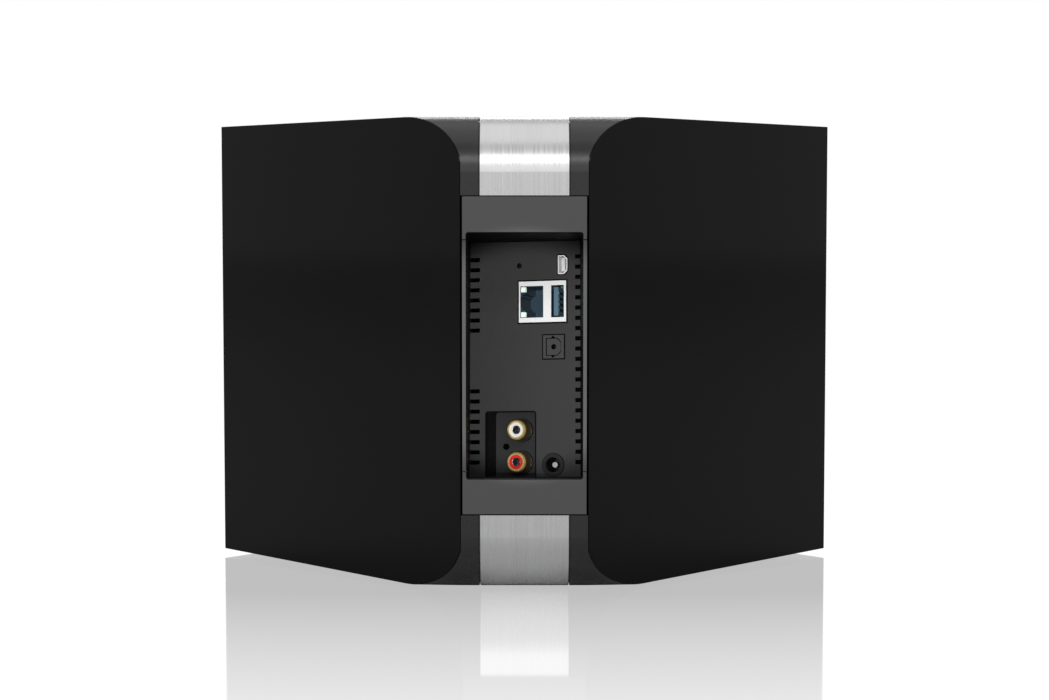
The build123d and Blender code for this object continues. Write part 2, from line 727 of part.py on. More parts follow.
def key_outline(shrink):
    """Keyed outline of the optical opening: square on the left, two corners cut on the right."""
    half_w = KEY_W / 2 - shrink
    half_h = KEY_H / 2 - shrink
    with BuildSketch(mode=Mode.PRIVATE) as outline:
        with BuildLine():
            Polyline(
                (-half_w, -half_h),
                (half_w - KEY_CUT, -half_h),
                (half_w, -half_h + KEY_CUT),
                (half_w, half_h - KEY_CUT),
                (half_w - KEY_CUT, half_h),
                (-half_w, half_h),
                close=True,
            )
        make_face()
    return outline.sketch


with BuildPart() as optical_socket:
    with BuildSketch(optical_plane):
        Rectangle(OPTICAL_W, OPTICAL_H)
    extrude(amount=-13)
    with BuildSketch(optical_plane):
        add(key_outline(0))
        for side in (-1, 1):
            with Locations((-0.2, side * (KEY_H / 2 + 0.1))):
                RegularPolygon(0.75, 4)
    extrude(amount=-8.6, mode=Mode.SUBTRACT)
save(optical_socket.part, "optical_socket")

with BuildPart() as optical_emitter:
    with BuildSketch(optical_plane.offset(-8.6)):
        Circle(2.2)
        Circle(0.9, mode=Mode.SUBTRACT)
    extrude(amount=1.4)
save(optical_emitter.part, "optical_emitter")

with BuildPart() as optical_dust_plug:
    with BuildSketch(optical_plane.offset(-0.35)):
        add(key_outline(DUST_GAP))
    extrude(amount=-6.2)
    with BuildSketch(optical_plane.offset(-0.35)):
        Circle(1.05)
    extrude(amount=-4, mode=Mode.SUBTRACT)
save(optical_dust_plug.part, "optical_dust_plug")

# ---- phono jacks -------------------------------------------------------------------
SHELL_R = 4.15
SHELL_LENGTH = 7.8
RIM_R = 3.45                  # the shell narrows to this at its mouth, to lead the plug on
RIM_LEAD = 1.1
CORE_R = 2.85
CONTACT_R = 1.85
PIN_R = 1.65
CORE_BACK = 0.3               # insulator face behind the mouth of the shell
CONTACT_BACK = 0.9

with BuildPart() as phono_block:
    with BuildSketch(plate_level(POCKET_FLOOR - 1.3)):
        with Locations(((SIDE_U + 5.2) / 2, -31.75)):
            Rectangle(5.2 - SIDE_U, 27)
    extrude(amount=-11)
    with BuildSketch(plate_level(POCKET_FLOOR - 1.3)):
        with Locations((RCA_SCREW_U, RCA_SCREW_V)):
            Circle(1.0)
    extrude(amount=-8, mode=Mode.SUBTRACT)
save(phono_block.part, "phono_block")

with BuildPart() as phono_screw:
    with BuildSketch(plate_level(POCKET_FLOOR - 9)):
        with Locations((RCA_SCREW_U, RCA_SCREW_V)):
            Circle(0.95)
    extrude(amount=9)
    with BuildSketch(plate_level(POCKET_FLOOR)):
        with Locations((RCA_SCREW_U, RCA_SCREW_V)):
            Circle(1.25)
    extrude(amount=0.5)
save(phono_screw.part, "phono_screw")


def phono_collar(v):
    """Black moulded collar around the foot of a phono jack."""
    with BuildPart(mode=Mode.PRIVATE) as collar:
        with BuildSketch(plate_level(POCKET_FLOOR - 1.25)):
            with Locations((RCA_U, v)):
                Circle(4.7)
                Circle(SHELL_R, mode=Mode.SUBTRACT)
        extrude(amount=2.6)
    return collar.part


def phono_shell(v):
    """Plated outer contact of a phono jack: a tube with a tapered mouth."""
    with BuildPart(mode=Mode.PRIVATE) as shell:
        with BuildSketch(plate_level(POCKET_FLOOR - 1.25)):
            with Locations((RCA_U, v)):
                Circle(SHELL_R)
        extrude(amount=1.25 + SHELL_LENGTH)
        mouth = shell.faces().sort_by(Axis((0, 0, 0), OUTWARD))[-1].edges()
        barrel = shell.faces().filter_by(GeomType.CYLINDER)[0]
        chamfer(mouth, length=RIM_LEAD, length2=SHELL_R - RIM_R, reference=barrel)
        with BuildSketch(plate_level(POCKET_FLOOR - 1.25)):
            with Locations((RCA_U, v)):
                Circle(CORE_R)
        extrude(amount=1.25 + SHELL_LENGTH, mode=Mode.SUBTRACT)
    return shell.part


def phono_core(v):
    """Insulator inside a phono jack, flush with the shell, bored for the plug's pin."""
    with BuildPart(mode=Mode.PRIVATE) as core:
        with BuildSketch(plate_level(POCKET_FLOOR - 1.25)):
            with Locations((RCA_U, v)):
                Circle(CORE_R)
                Circle(PIN_R + 0.1, mode=Mode.SUBTRACT)
        extrude(amount=1.25 + SHELL_LENGTH - CORE_BACK)
        with BuildSketch(plate_level(POCKET_FLOOR - 1.25)):
            with Locations((RCA_U, v)):
                Circle(CONTACT_R)
        extrude(amount=1.25 + SHELL_LENGTH - CONTACT_BACK, mode=Mode.SUBTRACT)
    return core.part


def phono_contact(v):
    """Centre contact sleeve of a phono jack."""
    with BuildPart(mode=Mode.PRIVATE) as sleeve:
        with BuildSketch(plate_level(POCKET_FLOOR - 1.25)):
            with Locations((RCA_U, v)):
                Circle(CONTACT_R)
                Circle(PIN_R, mode=Mode.SUBTRACT)
        extrude(amount=1.25 + SHELL_LENGTH - CONTACT_BACK)
    return sleeve.part


for channel, jack_v in zip(("white", "red"), RCA_V):
    save(phono_collar(jack_v), f"{channel}_phono_collar")
    save(phono_shell(jack_v), f"{channel}_phono_shell")
    save(phono_core(jack_v), f"{channel}_phono_core")
    save(phono_contact(jack_v), f"{channel}_phono_contact")

# ---- power inlet -------------------------------------------------------------------
with BuildPart() as power_inlet:
    with BuildSketch(plate_level(0.4)):
        with Locations((DC_U, DC_V)):
            Circle(4.4)
            Circle(2.9, mode=Mode.SUBTRACT)
    extrude(amount=-PLATE_T - 0.4)
    with BuildSketch(plate_level(-PLATE_T)):
        with Locations((DC_U + 0.3, DC_V)):
            Rectangle(11, 10)
    extrude(amount=-12)
    with BuildSketch(plate_level(-PLATE_T)):
        with Locations((DC_U, DC_V)):
            Circle(2.9)
    extrude(amount=-9, mode=Mode.SUBTRACT)
save(power_inlet.part, "power_inlet")

with BuildPart() as power_pin:
    with BuildSketch(plate_level(-PLATE_T - 9)):
        with Locations((DC_U, DC_V)):
            Circle(1.05)
    extrude(amount=8.4)
save(power_pin.part, "power_pin")

# ---- reset button behind its pinhole -----------------------------------------------
PLUNGER_R = 1.7
SWITCH_FRONT = -PLATE_T - 2.4
with BuildPart() as reset_button:
    with BuildSketch(plate_level(-PLATE_T - 1.2)):
        with Locations((RESET_U, RESET_V)):
            Circle(PLUNGER_R)
    extrude(amount=-3.0)
save(reset_button.part, "reset_button")

with BuildPart() as reset_switch:
    with BuildSketch(plate_level(SWITCH_FRONT)):
        with Locations(((SIDE_U + 1.2) / 2, RESET_V)):
            Rectangle(1.2 - SIDE_U, 6.5)
    extrude(amount=-4.6)
    with BuildSketch(plate_level(SWITCH_FRONT)):
        with Locations((RESET_U, RESET_V)):
            Circle(PLUNGER_R + 0.08)
    extrude(amount=-3.0, mode=Mode.SUBTRACT)
save(reset_switch.part, "reset_switch")

with BuildPart() as snap_dome:
    with BuildSketch(plate_level(SWITCH_FRONT - 3.0)):
        with Locations((RESET_U, RESET_V)):
            Circle(1.6)
    extrude(amount=0.15)
save(snap_dome.part, "snap_dome")

# ---- tray that carries the boards, and the antennas in the wings --------------------
TRAY_V = -46.9
TRAY_T = 1.4
with BuildPart() as board_tray:
    with BuildSketch(plate_level(-16.5)):
        with Locations(((SIDE_U + MAIN_U) / 2, TRAY_V)):
            Rectangle(MAIN_U - SIDE_U + 10, TRAY_T)
    extrude(amount=-64)
    for v_edge in (SIDE_U - BOARD_T - 1.2, MAIN_U + BOARD_T + 1.2):
        add(block(v_edge, -45.2, 1.2, 2.0, -17, 58))
save(board_tray.part, "board_tray")

under_tray = Plane(
    origin=plate_plane.from_local_coords((0, TRAY_V - TRAY_T / 2, 0)), x_dir=ACROSS, z_dir=plate_plane.y_dir
)
with BuildPart() as tray_posts:
    with BuildSketch(Plane.XY.offset(SPINE_BOTTOM + FRAME_T)):
        with Locations((-7, 30), (-18, -14)):
            Circle(3.5)
    extrude(amount=40)
    with BuildSketch(under_tray):
        Rectangle(300, 300)
    extrude(amount=60, mode=Mode.SUBTRACT)
save(tray_posts.part, "tray_posts")

ANTENNA_X = 80.0
ANTENNA_H = 60.0
for side, label in ((1, "right_antenna"), (-1, "left_antenna")):
    with BuildPart() as antenna:
        with BuildSketch(Plane.YZ.offset(side * ANTENNA_X)):
            with Locations((0, TOP - WALL - ANTENNA_H / 2)):
                Rectangle(22, ANTENNA_H)
        extrude(amount=side * 0.8)
    save(antenna.part, label)
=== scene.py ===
# %% [markdown]
# # A compact network music player, seen from its jacks
# The cabinet is a narrow spine with two flared wings. The spine carries a brushed aluminium band, a grey
# bezel and a deep bay with the jacks; the wings are closed by glossy covers that fold at a sharp side edge.
# The hard shapes come ready from the CAD frame, in metres. This lesson gives every piece its finish and
# adds the small parts that a frame leaves out, then sets up a plain studio. Run the cells in order: most
# of them print what they made, so a mistake shows up in the cell that holds it.

# %% Load the frame
import json
import math

import bpy
import numpy as np
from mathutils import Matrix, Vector


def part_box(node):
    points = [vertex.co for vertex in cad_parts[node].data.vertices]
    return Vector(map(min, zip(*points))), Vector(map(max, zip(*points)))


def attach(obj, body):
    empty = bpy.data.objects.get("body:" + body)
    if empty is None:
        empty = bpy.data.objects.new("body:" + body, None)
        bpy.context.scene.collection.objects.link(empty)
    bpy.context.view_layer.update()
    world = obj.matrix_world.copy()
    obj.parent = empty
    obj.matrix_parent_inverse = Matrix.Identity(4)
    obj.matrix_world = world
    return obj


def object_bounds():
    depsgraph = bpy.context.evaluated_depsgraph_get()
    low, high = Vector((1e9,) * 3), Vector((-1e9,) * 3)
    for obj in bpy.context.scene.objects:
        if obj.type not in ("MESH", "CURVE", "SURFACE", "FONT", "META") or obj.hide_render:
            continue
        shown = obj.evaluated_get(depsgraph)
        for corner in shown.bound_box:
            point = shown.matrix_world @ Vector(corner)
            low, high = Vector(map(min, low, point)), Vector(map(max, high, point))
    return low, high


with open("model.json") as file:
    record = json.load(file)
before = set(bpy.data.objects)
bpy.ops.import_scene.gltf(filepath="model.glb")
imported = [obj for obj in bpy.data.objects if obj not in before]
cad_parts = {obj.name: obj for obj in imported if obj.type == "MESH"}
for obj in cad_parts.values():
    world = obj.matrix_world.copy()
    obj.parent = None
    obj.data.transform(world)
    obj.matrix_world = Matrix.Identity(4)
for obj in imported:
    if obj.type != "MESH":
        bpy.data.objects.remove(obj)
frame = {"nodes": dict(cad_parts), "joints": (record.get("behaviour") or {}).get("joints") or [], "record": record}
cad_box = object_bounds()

nodes = frame["nodes"]
record_slots = {entry["node"]: entry["material_slot"] for entry in frame["record"]["subparts"]}
low, high = (np.array(corner) for corner in cad_box)
size = high - low
print("cabinet in mm:", np.round(size * 1000, 1), "with", len(nodes), "nodes")

# %% [markdown]
# ## How a finish is built
# Every finish here is one Principled shader. Three things make it more than a flat colour: a slight change
# of colour over the surface, a slight change of gloss, and a fine relief. A painted texture could carry them
# too, but it would need an unwrapped surface and would blur close up. Noise needs neither: it reads Object
# coordinates, so a pattern stays fixed to the piece and has a real scale in metres. Values that are the
# same everywhere are set on the shader itself.

# %% A finish and its noise
def new_finish(name, colour, roughness, metallic=0.0, **inputs):
    """A node material holding one Principled shader with these plain values."""
    finish = bpy.data.materials.new(name)
    finish.use_nodes = True
    shader = finish.node_tree.nodes["Principled BSDF"]
    shader.inputs["Base Color"].default_value = (*colour, 1.0)
    shader.inputs["Roughness"].default_value = roughness
    shader.inputs["Metallic"].default_value = metallic
    for label, value in inputs.items():
        shader.inputs[label.replace("_", " ")].default_value = value
    return finish


def object_noise(finish, scale, stretch=(1, 1, 1), detail=3.0):
    """A noise pattern on Object coordinates, stretched per axis; scale is in features per metre."""
    tree = finish.node_tree
    place = tree.nodes.new("ShaderNodeTexCoord")
    mapping = tree.nodes.new("ShaderNodeMapping")
    mapping.inputs["Scale"].default_value = stretch
    noise = tree.nodes.new("ShaderNodeTexNoise")
    noise.inputs["Scale"].default_value = scale
    noise.inputs["Detail"].default_value = detail
    tree.links.new(place.outputs["Object"], mapping.inputs["Vector"])
    tree.links.new(mapping.outputs["Vector"], noise.inputs["Vector"])
    return noise.outputs["Fac"]


NOISE_LOW, NOISE_HIGH = 0.3, 0.7      # nearly all of a noise pattern lies between these


def vary(finish, pattern, label, lowest, highest):
    """Feed an input: lowest plus the pattern's share of its usual range times (highest minus lowest)."""
    tree = finish.node_tree
    ranged = tree.nodes.new("ShaderNodeMapRange")
    ranged.inputs["From Min"].default_value = NOISE_LOW
    ranged.inputs["From Max"].default_value = NOISE_HIGH
    ranged.inputs["To Min"].default_value = lowest
    ranged.inputs["To Max"].default_value = highest
    tree.links.new(pattern, ranged.inputs["Value"])
    tree.links.new(ranged.outputs["Result"], tree.nodes["Principled BSDF"].inputs[label])


def tint(finish, pattern, first, second):
    """Blend the base colour: the first colour where the pattern is 0, the second where it is 1."""
    tree = finish.node_tree
    mix = tree.nodes.new("ShaderNodeMix")
    mix.data_type = "RGBA"
    mix.inputs["A"].default_value = (*first, 1.0)
    mix.inputs["B"].default_value = (*second, 1.0)
    tree.links.new(pattern, mix.inputs["Factor"])
    tree.links.new(mix.outputs["Result"], tree.nodes["Principled BSDF"].inputs["Base Color"])


def relief(finish, pattern, height, strength=1.0):
    """Turn a pattern into a fine relief of that height in metres."""
    tree = finish.node_tree
    bump = tree.nodes.new("ShaderNodeBump")
    bump.inputs["Strength"].default_value = strength
    bump.inputs["Distance"].default_value = height
    tree.links.new(pattern, bump.inputs["Height"])
    tree.links.new(bump.outputs["Normal"], tree.nodes["Principled BSDF"].inputs["Normal"])


def shades(colour, spread):
    """Two colours: the given one times 1 minus the spread, and times 1 plus the spread."""
    base = np.array(colour)
    return tuple(base * (1 - spread)), tuple(base * (1 + spread))


finishes = {}


def moulded(slot, colour, roughness, grain=3500, depth=6e-6, spread=0.06, **inputs):
    """Moulded plastic: a spark-eroded grain, with broad clouds in the colour and finer ones in the gloss."""
    finish = new_finish(slot, colour, roughness, **inputs)
    tint(finish, object_noise(finish, 90, detail=2), *shades(colour, spread))
    vary(finish, object_noise(finish, 400), "Roughness", roughness * 0.9, roughness * 1.12)
    relief(finish, object_noise(finish, grain, detail=2), depth)
    finishes[slot] = finish
    return finish


print("finish helpers ready")

# %% [markdown]
# ## Cabinet plastics
# The covers are piano-gloss black: nearly no colour of their own, a clear reflection, and a faint ripple
# that moulded gloss always has. The spine and the wing shells are the same dark satin plastic. The bezel
# is a lighter grey and the jack plate behind it darker; the liner is painted black as painted shade, so
# the bay looks deep. What stands behind the vent slots is kept nearly black; on the heat spreader this is
# painted shade, for the dark inside that the slots of a real cabinet show from outside.

# %% Cabinet plastics
SATIN = (0.005, 0.005, 0.0053)

gloss = new_finish("gloss_cover", (0.0009, 0.0009, 0.001), 0.06, Specular_IOR_Level=0.19)
vary(gloss, object_noise(gloss, 60), "Roughness", 0.05, 0.085)
relief(gloss, object_noise(gloss, 140, detail=1), 4e-6, 0.4)
finishes["gloss_cover"] = gloss

for slot in ("wing_shell", "spine"):
    moulded(slot, SATIN, 0.28, depth=1.5e-6, Specular_IOR_Level=0.78)
moulded("bezel", (0.100, 0.100, 0.101), 0.42, spread=0.03, Specular_IOR_Level=0.35)
moulded("socket_plastic", (0.010, 0.010, 0.011), 0.42, grain=6000, Specular_IOR_Level=0.3)
# Painted shade: the button is near-black for the shade in its pinhole.
moulded("button", (0.003, 0.003, 0.003), 0.6, grain=6000, Specular_IOR_Level=0.1)
moulded("chip", (0.014, 0.014, 0.015), 0.55, grain=9000)
moulded("foot_rubber", (0.02, 0.02, 0.02), 0.8, grain=5000, depth=1.5e-5)
moulded("soft_pad", (0.35, 0.36, 0.42), 0.7)
moulded("ribbon", (0.55, 0.55, 0.52), 0.4)
# Painted shade: the heat spreader is near-black for the dark inside seen through the vent slots.
moulded("heat_metal", (0.006, 0.006, 0.0065), 0.6, depth=3e-6, Specular_IOR_Level=0.15)
moulded("capacitor_can", (0.008, 0.008, 0.009), 0.45, depth=2e-6, Specular_IOR_Level=0.2)
moulded("touch_glass", (0.006, 0.006, 0.007), 0.05, depth=1e-6)
print("plastics:", sorted(finishes))

# %% [markdown]
# ## Brushed aluminium
# The band is brushed along its length, so the scratches run up the back and over the top. A noise
# stretched a hundred times longer along Y and Z than across X gives those streaks, once coarse and once
# fine, in the gloss, the colour and the relief.

# %% Brushed aluminium
def brushed(slot, colour, roughness, streak=1400, along=0.012):
    """Metal brushed in the YZ plane: streaks that change fast across X and slowly along the band."""
    finish = new_finish(slot, colour, roughness, metallic=1.0)
    fine = object_noise(finish, streak, (1, along, along), detail=4)
    coarse = object_noise(finish, streak / 5, (1, along, along), detail=2)
    tint(finish, coarse, *shades(colour, 0.05))
    vary(finish, fine, "Roughness", roughness * 0.8, roughness * 1.2)
    relief(finish, fine, 8e-6, 0.5)
    finishes[slot] = finish
    return finish


brushed("band", (0.79, 0.79, 0.795), 0.29)
print("brushed aluminium ready")

# %% [markdown]
# ## Two colours on one piece
# The bay liner is painted black as painted shade for the deep bay, and its rear rim shows as part of the
# grey surround. Such a piece could be cut in two, or its faces could be given two materials. One shader
# that compares each point's distance along an axis with a level does the same and leaves the mesh alone.
# It is used again to paint shade: black cut edges beside a lit face, dark hollows and darker barrels.

# %% Bay liner
COAT_EDGE = 0.00004            # metres over which one colour turns into the other


# Used to paint shade: one side of the level gets the shade colour, the other the lit colour.
def painted_shade_split(finish, axis, level, behind, ahead):
    """Colour by the point's dot product with the axis: behind below the level, ahead of it above."""
    tree = finish.node_tree
    place = tree.nodes.new("ShaderNodeTexCoord")
    along = tree.nodes.new("ShaderNodeVectorMath")
    along.operation = "DOT_PRODUCT"
    along.inputs[1].default_value = axis
    edge = tree.nodes.new("ShaderNodeMapRange")
    edge.inputs["From Min"].default_value = level
    edge.inputs["From Max"].default_value = level + COAT_EDGE
    tree.links.new(place.outputs["Object"], along.inputs[0])
    tree.links.new(along.outputs["Value"], edge.inputs["Value"])
    tint(finish, edge.outputs["Result"], behind, ahead)


# This black is painted shade: it stands for the shade in hollows, gaps and cut edges.
SHADE_BLACK = (0.0045, 0.0045, 0.0047)
BEZEL_GREY = (0.098, 0.098, 0.099)
REAR_AXIS = (0.0, 1.0, 0.0)
RIM_T = 0.0004
# Painted shade: the liner is black for the shade in the deep bay; its rear rim is grey.
liner = moulded("liner", SHADE_BLACK, 0.6, Specular_IOR_Level=0.08)
painted_shade_split(liner, REAR_AXIS, float(high[1]) - RIM_T, SHADE_BLACK, BEZEL_GREY)
print("liner black, with a grey rear rim")

# %% [markdown]
# ## The jack plate's own directions
# The plate and its jacks stand askew in the bay. The dust plug slides straight out of the plate, so its
# joint gives the plate's outward direction; two cross products give the other two. Measuring a node's
# corners along these directions tells where its front lies.

# %% Directions of the plate
def unit(vector):
    """The vector divided by its length."""
    return np.array(vector) / np.linalg.norm(vector)


pull = next(joint for joint in frame["joints"] if joint["name"] == "dust_plug_pull")
outward = unit(pull["axis"])
upward = unit(np.cross((1, 0, 0), outward))
across = np.cross(upward, outward)


def span_along(node, axis):
    """Lowest and highest value of a node's vertices measured along an axis, in metres."""
    mesh = nodes[node].data
    flat = np.empty(len(mesh.vertices) * 3)
    mesh.vertices.foreach_get("co", flat)
    reach = flat.reshape(-1, 3) @ axis
    return float(reach.min()), float(reach.max())


plate_face = span_along("connector_plate", outward)[1]
print("outward", np.round(outward, 3), "plate face at", round(plate_face * 1000, 2), "mm")

# %% [markdown]
# ## Powder coat, plated metals and lenses
# The jack plate is powder coated, which leaves a fine bumpy skin on the face; the cut edges of its slots
# are painted black as painted shade for the gaps. The pocket for the phono jacks has a darker grey floor
# and black walls, both painted shade in the hollow. Plated parts are metals with a small cloudiness in the
# gloss. The tin-plated shield is so matt that it looks like pale paint, so it is only slightly metallic;
# behind its front face it is painted black as painted shade.

# %% Powder coat
PLATE_GREY = (0.037, 0.037, 0.038)
POCKET_SHADE_GREY = (0.028, 0.028, 0.029)
COAT = {"roughness": 0.5, "grain": 2600, "depth": 1.2e-5}
SKIN = 0.0002                  # how far the lit face's colour reaches into the thickness
POCKET_WALL = 0.0012

plate_coat = moulded("jack_plate", PLATE_GREY, **COAT, spread=0.05, Specular_IOR_Level=0.3)
# Painted shade: the slot edges behind the plate's face are black for the shade in the gaps.
painted_shade_split(plate_coat, outward, plate_face - SKIN, SHADE_BLACK, PLATE_GREY)

pocket_floor = span_along("jack_pocket", outward)[0] + POCKET_WALL
# Painted shade: the pocket's floor is a darker grey than the plate and its walls black, for the shade in the
# hollow.
pocket_shade_coat = moulded("pocket", PLATE_GREY, **COAT, Specular_IOR_Level=0.25)
painted_shade_split(pocket_shade_coat, outward, pocket_floor + SKIN, POCKET_SHADE_GREY, SHADE_BLACK)
print("pocket floor", round((plate_face - pocket_floor) * 1000, 2), "mm behind the plate's face")

# %% Small metals and lenses
TIN_WHITE = (1.0, 1.0, 0.995)
SHIELD_SKIN = 0.00005


def plated(slot, colour, roughness, metallic=1.0):
    """Plated metal: even colour with slightly cloudy gloss; matt tin plate is less than fully metallic."""
    finish = new_finish(slot, colour, roughness, metallic=metallic)
    vary(finish, object_noise(finish, 700), "Roughness", roughness * 0.75, roughness * 1.3)
    relief(finish, object_noise(finish, 3000, detail=1), 2e-6, 0.5)
    finishes[slot] = finish
    return finish


plated("bright_metal", TIN_WHITE, 0.5, metallic=0.1)
shield_front = plated("shield", TIN_WHITE, 0.5, metallic=0.1)
# Painted shade: the shield is black behind its front face, for the shade in the gap round it.
painted_shade_split(shield_front, outward, plate_face - SHIELD_SKIN, SHADE_BLACK, TIN_WHITE)
plated("gold", (1.0, 0.73, 0.30), 0.3, metallic=0.9)
plated("contact_metal", (0.62, 0.62, 0.63), 0.3)
plated("fastener", (0.5, 0.5, 0.51), 0.35)

moulded("white_insulator", (0.95, 0.95, 0.93), 0.3, grain=6000, spread=0.02)
moulded("red_insulator", (0.78, 0.022, 0.016), 0.3, grain=6000, spread=0.05)


def lens(slot, colour, shine):
    """A clear moulded lens with a faint light of its own."""
    finish = new_finish(slot, colour, 0.12, Transmission_Weight=0.35, IOR=1.49)
    shader = finish.node_tree.nodes["Principled BSDF"]
    shader.inputs["Emission Color"].default_value = (*colour, 1.0)
    shader.inputs["Emission Strength"].default_value = shine
    relief(finish, object_noise(finish, 2500, detail=1), 3e-6, 0.5)
    finishes[slot] = finish
    return finish


lens("light", (0.75, 0.85, 1.0), 0.15)
lens("network_light", (0.84, 0.95, 0.86), 0.3)
lens("optical_lens", (0.35, 0.02, 0.02), 0.0)
print(len(finishes), "finishes so far")

# %% [markdown]
# ## Circuit boards
# The boards are dark green lacquer over copper. A brick pattern at a fine scale stands in for the tracks:
# its joints become the raised copper lines. It is cheap, and the boards are only glimpsed through slots.

# %% Circuit boards
def circuit_board(slot):
    """Dark green solder lacquer with fine raised tracks along the joints of a brick pattern."""
    finish = new_finish(slot, (0.003, 0.012, 0.006), 0.4)
    tree = finish.node_tree
    place = tree.nodes.new("ShaderNodeTexCoord")
    tracks = tree.nodes.new("ShaderNodeTexBrick")
    tracks.inputs["Scale"].default_value = 260
    tracks.inputs["Color1"].default_value = (0.0025, 0.010, 0.005, 1)
    tracks.inputs["Color2"].default_value = (0.0035, 0.014, 0.007, 1)
    tracks.inputs["Mortar"].default_value = (0.008, 0.024, 0.012, 1)
    tracks.inputs["Mortar Size"].default_value = 0.03
    tree.links.new(place.outputs["Object"], tracks.inputs["Vector"])
    tree.links.new(tracks.outputs["Color"], tree.nodes["Principled BSDF"].inputs["Base Color"])
    relief(finish, tracks.outputs["Fac"], 1.5e-5, 0.6)
    finishes[slot] = finish
    return finish


circuit_board("circuit_board")
print("circuit boards ready")

# %% [markdown]
# ## Dressing the frame
# Each CAD piece has one material slot named in the record. Swapping the material in that slot changes the
# look and leaves the mesh alone. A few pieces differ from their slot. The network socket's body is a dark
# blue-black, and the tongue of the host port is a lighter blue-grey. The optical socket and its dust plug
# are grey in front and painted black in their depth, as painted shade. The phono shells are bright gold at
# the rim, and their turned barrels are painted darker, as painted shade.

# %% Finishes for single pieces
OPTICAL_GREY = (0.066, 0.066, 0.067)
OPTICAL_SKIN = 0.0004
# This darker gold is painted shade for the barrels behind the bright rim.
SHADED_GOLD = (0.20, 0.12, 0.035)
BRIGHT_GOLD = (1.0, 0.74, 0.30)
RIM_LENGTH = 0.0007

moulded("network_body", (0.03, 0.058, 0.085), 0.35, grain=6000, Specular_IOR_Level=0.25)
moulded("host_tongue", (0.10, 0.19, 0.26), 0.3, grain=6000)
# Painted shade: both are black behind their front face, for the shade in their depth.
for name in ("optical_socket", "optical_dust_plug"):
    body = moulded(name, PLATE_GREY, 0.5, grain=6000, Specular_IOR_Level=0.12)
    painted_shade_split(body, outward, span_along(name, outward)[1] - OPTICAL_SKIN, SHADE_BLACK, OPTICAL_GREY)
moulded("dark_screw", (0.001, 0.001, 0.001), 0.7, grain=6000, Specular_IOR_Level=0.02)
plated("dull_contact", (0.10, 0.12, 0.14), 0.5)
plated("port_core", (0.9, 0.9, 0.9), 0.45, metallic=0.3)
shell_gold = plated("shell_gold", BRIGHT_GOLD, 0.3, metallic=0.6)
shell_mouth = span_along("white_phono_shell", outward)[1]
# Painted shade: the shells are a darker gold behind the rim.
painted_shade_split(shell_gold, outward, shell_mouth - RIM_LENGTH, SHADED_GOLD, BRIGHT_GOLD)
print(len(finishes), "finishes in all")

# %% Put the finishes on the CAD pieces
special = {
    "white_phono_shell": "shell_gold",
    "red_phono_shell": "shell_gold",
    "network_socket": "network_body",
    "usb_socket": "host_tongue",
    "network_usb_shield": "shield",
    "jack_pocket": "pocket",
    "optical_socket": "optical_socket",
    "optical_dust_plug": "optical_dust_plug",
    "phono_screw": "dark_screw",
    "usb_contacts": "dull_contact",
    "service_port_tongue": "port_core",
}

for name, piece in nodes.items():
    finish = finishes[special.get(name, record_slots[name])]
    piece.data.materials.clear()
    piece.data.materials.append(finish)
print("dressed", len(nodes), "pieces")

# %% [markdown]
# ## Painted shade round the sockets and the pocket
# Thin black rings border the sockets that come through the jack plate, lying on the plate, as painted
# shade for the shaded gaps round them, and a black lip runs round the mouth of the jack pocket as painted
# shade in its hollow. Each is a small rectangle carried once round an outline, so it is worked out as a
# grid: one row for each corner of the outline, one column for each corner of the rectangle, closed both
# ways. Cut corners turn the outline from four corners into eight.

# %% Closed rings round an outline
def grid_piece(name, points, finish, wrap_u=False, wrap_v=False):
    """A mesh object from an array of points (rows, columns, 3), one quad between each four neighbours."""
    rows, columns = points.shape[:2]
    row = np.arange(rows if wrap_u else rows - 1)
    column = np.arange(columns if wrap_v else columns - 1)
    r, c = np.meshgrid(row, column, indexing="ij")
    r2, c2 = (r + 1) % rows, (c + 1) % columns
    quads = np.stack([r * columns + c, r2 * columns + c, r2 * columns + c2, r * columns + c2], -1)
    mesh = bpy.data.meshes.new(name)
    mesh.from_pydata(points.reshape(-1, 3).tolist(), [], quads.reshape(-1, 4).tolist())
    mesh.materials.append(finish)
    piece = bpy.data.objects.new(name, mesh)
    bpy.context.scene.collection.objects.link(piece)
    return piece


def outline(left, right, base, top, cut_left=0.0, cut_right=0.0):
    """Corners of a rectangle in order round it, with its left and right corners cut off by given amounts."""
    a, b = cut_left, cut_right
    return np.array([
        (left + a, base), (right - b, base), (right, base + b), (right, top - b),
        (right - b, top), (left + a, top), (left, top - a), (left, base + a),
    ])


def ring_piece(name, inner, outer, back, front, finish, body):
    """A closed ring on the jack plate: the four edge lines of its walls, each one outline at one level."""
    columns = [(outer, back), (outer, front), (inner, front), (inner, back)]
    layers = [np.column_stack([corners, np.full(len(corners), level)]) for corners, level in columns]
    local = np.stack(layers, axis=1)
    points = local @ np.stack([across, upward, outward])
    piece = grid_piece(name, points, finish, wrap_u=True, wrap_v=True)
    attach(piece, body)
    return piece


